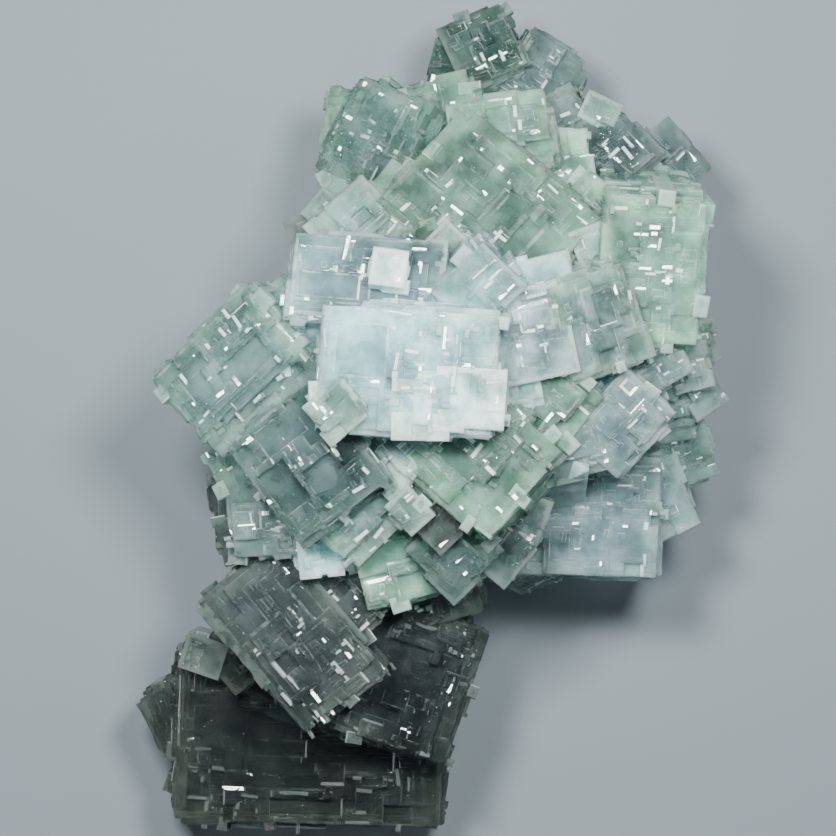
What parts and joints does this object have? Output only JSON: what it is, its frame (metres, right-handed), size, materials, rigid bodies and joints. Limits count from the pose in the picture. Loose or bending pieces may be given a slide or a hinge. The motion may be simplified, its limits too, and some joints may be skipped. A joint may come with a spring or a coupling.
{
  "type": "fluorite crystal cluster",
  "caption": "Hand-sized cluster of intergrown, stepped fluorite cubes, clear to milky, resting on its flat cut back with its crystal side up.",
  "frame": {"origin": "middle of the bounding box at the level of the flat cut back that the cluster rests on", "axes": "+Z out of the crystal side, +Y along the length from the dark cubes at the lower end to the peak, +X to the right as the crystal side is looked at"},
  "size_m": [0.0682, 0.0962, 0.0422],
  "materials": {
    "fluorite": "clear to milky, pale mint green with a lavender-white middle and smoky grey cubes at the lower end, glossy faces"
  },
  "bodies": {
    "root": {"fluorite_cluster": "fluorite"}
  },
  "joints": []
}
